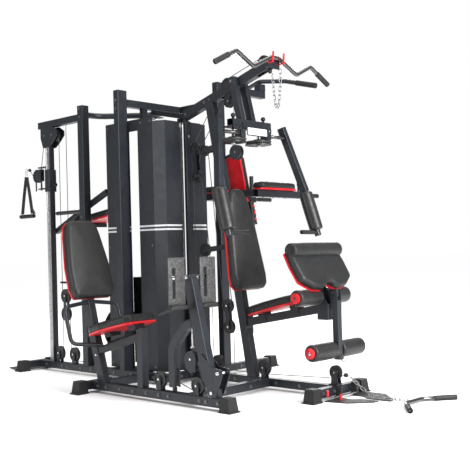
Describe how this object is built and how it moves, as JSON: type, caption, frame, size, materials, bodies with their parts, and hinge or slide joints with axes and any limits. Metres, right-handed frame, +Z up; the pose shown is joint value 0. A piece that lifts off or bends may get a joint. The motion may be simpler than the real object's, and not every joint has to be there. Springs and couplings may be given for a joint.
{
  "type": "multi station home gym",
  "caption": "Free-standing gym with press, leg press, pulley column and dip stations round a shrouded pair of weight stacks.",
  "frame": {"origin": "on the floor under the middle of the bounding box", "axes": "+X the way the press and leg-press users face, +Y towards the dip station, +Z up"},
  "size_m": [3.4008, 1.9615, 2.1003],
  "materials": {
    "frame": "satin charcoal powder coat",
    "rubber": "matt black rubber",
    "tread": "fine textured black",
    "silver": "satin silver front strip on a black tube",
    "gloss": "glossy black sheet with two pale stripes",
    "chrome": "polished",
    "wheel": "black nylon",
    "cable": "black coated steel cable",
    "leather": "black leatherette with fine grain",
    "red": "red",
    "foam": "black closed-cell foam",
    "iron": "black enamel",
    "bar": "black chrome plating, glossy, with black rubber grips",
    "label": "plain white",
    "fabric": "black webbing",
    "bolt": "black oxide"
  },
  "bodies": {
    "frame_body": {"base_tubes": "frame", "bolts": "bolt", "boom": "frame", "brackets": "frame", "cables": "cable", "chrome_parts": "chrome", "column": "silver", "dip_frame": "frame", "fixed_rollers": "foam", "foot_caps": "rubber", "foot_plates": "tread", "lat_chain": "chrome", "leg_frame": "frame", "leg_pads": "leather", "low_chain": "chrome", "pad_boards": "red", "press_frame": "frame", "press_pads": "leather", "pulley_wheels": "wheel", "rear_posts": "frame", "red_fittings": "red", "rest_pads": "leather", "rubber_parts": "rubber", "shroud": "gloss", "top_beams": "frame"},
    "stack_a_body": {"stack_a": "iron", "stack_a_cable": "cable"},
    "pin_a_body": {"pin_a": "chrome"},
    "stack_b_body": {"stack_b": "iron", "stack_b_cable": "cable"},
    "pin_b_body": {"pin_b": "chrome"},
    "boom_wheel": {"wheel_boom": "wheel"},
    "lat_wheel": {"wheel_lat": "wheel"},
    "press_base_wheel": {"wheel_press_base": "wheel"},
    "leg_base_wheel": {"wheel_leg_base": "wheel"},
    "carriage_body": {"carriage": "frame", "carriage_cable": "cable"},
    "swivel_body": {"swivel_head": "frame"},
    "swivel_wheel_body": {"swivel_wheel": "wheel"},
    "strap_body": {"strap_handle": "fabric"},
    "leg_arm_body": {"leg_arm": "frame", "foot_pedals": "tread"},
    "press_arm_body": {"press_arm": "frame", "press_label": "label"},
    "arm_near_body": {"arm_near": "frame", "arm_near_foam": "foam"},
    "arm_far_body": {"arm_far": "frame", "arm_far_foam": "foam"},
    "lever_body": {"leg_lever": "frame", "lever_rollers": "foam", "ankle_cuff": "fabric"},
    "preacher_body": {"preacher_frame": "frame", "preacher_board": "red", "preacher_pad": "leather"},
    "lat_bar_body": {"lat_bar": "bar"},
    "low_bar_body": {"low_bar": "bar"}
  },
  "joints": [
    {"name": "stack_a_lift", "type": "slide", "parent": "frame_body", "child": "stack_a_body", "axis": [0, 0, 1], "range_m": [0, 0.9], "deforming": ["stack_a_cable"]},
    {"name": "pin_a_pull", "type": "slide", "parent": "stack_a_body", "child": "pin_a_body", "axis": [0, -1, 0], "range_m": [0, 0.05]},
    {"name": "stack_b_lift", "type": "slide", "parent": "frame_body", "child": "stack_b_body", "axis": [0, 0, 1], "range_m": [0, 0.85], "deforming": ["stack_b_cable"]},
    {"name": "pin_b_pull", "type": "slide", "parent": "stack_b_body", "child": "pin_b_body", "axis": [1, 0, 0], "range_m": [0, 0.05]},
    {"name": "boom_wheel_spin", "type": "hinge", "parent": "frame_body", "child": "boom_wheel", "pos_m": [0.3196, -0.0789, 1.901], "axis": [0, 1, 0], "continuous": true},
    {"name": "lat_wheel_spin", "type": "hinge", "parent": "frame_body", "child": "lat_wheel", "pos_m": [0.6326, -0.0789, 1.992], "axis": [0, 1, 0], "continuous": true},
    {"name": "press_base_wheel_spin", "type": "hinge", "parent": "frame_body", "child": "press_base_wheel", "pos_m": [0.5646, -0.0789, 0.13], "axis": [0, 1, 0], "continuous": true},
    {"name": "leg_base_wheel_spin", "type": "hinge", "parent": "frame_body", "child": "leg_base_wheel", "pos_m": [0.6846, -0.7639, 0.122], "axis": [0, 1, 0], "continuous": true},
    {"name": "carriage_height", "type": "slide", "parent": "frame_body", "child": "carriage_body", "axis": [0, 0, 1], "range_m": [-0.85, 0.12], "deforming": ["carriage_cable"]},
    {"name": "swivel_turn", "type": "hinge", "parent": "carriage_body", "child": "swivel_body", "pos_m": [-1.3964, -0.3439, 1.42], "axis": [0, 0, 1], "range_deg": [-60, 60]},
    {"name": "swivel_wheel_spin", "type": "hinge", "parent": "swivel_body", "child": "swivel_wheel_body", "pos_m": [-1.4424, -0.3439, 1.457], "axis": [0, 1, 0], "continuous": true},
    {"name": "strap_swing", "type": "hinge", "parent": "swivel_body", "child": "strap_body", "pos_m": [-1.5974, -0.3439, 1.523], "axis": [0, 1, 0], "range_deg": [-12, 12]},
    {"name": "leg_arm_swing", "type": "hinge", "parent": "frame_body", "child": "leg_arm_body", "pos_m": [0.8196, -0.7639, 0.098], "axis": [0, 1, 0], "range_deg": [0, 30]},
    {"name": "press_arm_swing", "type": "hinge", "parent": "frame_body", "child": "press_arm_body", "pos_m": [0.4096, -0.0789, 1.912], "axis": [0, -1, 0], "range_deg": [0, 24]},
    {"name": "butterfly_near", "type": "hinge", "parent": "press_arm_body", "child": "arm_near_body", "pos_m": [0.4606, -0.1959, 1.53], "axis": [0, 0, 1], "range_deg": [0, 45]},
    {"name": "butterfly_far", "type": "hinge", "parent": "press_arm_body", "child": "arm_far_body", "pos_m": [0.4606, 0.0381, 1.53], "axis": [0, 0, -1], "range_deg": [0, 45]},
    {"name": "leg_lever_swing", "type": "hinge", "parent": "frame_body", "child": "lever_body", "pos_m": [1.1166, -0.0789, 0.597], "axis": [0, -1, 0], "range_deg": [0, 80]},
    {"name": "arm_pad_height", "type": "slide", "parent": "frame_body", "child": "preacher_body", "axis": [0, 0, 1], "range_m": [0, 0.08]},
    {"name": "lat_bar_lift_off", "type": "slide", "parent": "frame_body", "child": "lat_bar_body", "axis": [0, 0, 1], "range_m": [0, 0.15]},
    {"name": "low_bar_lift", "type": "slide", "parent": "frame_body", "child": "low_bar_body", "axis": [0, 0, 1], "range_m": [0, 0.3]}
  ]
}
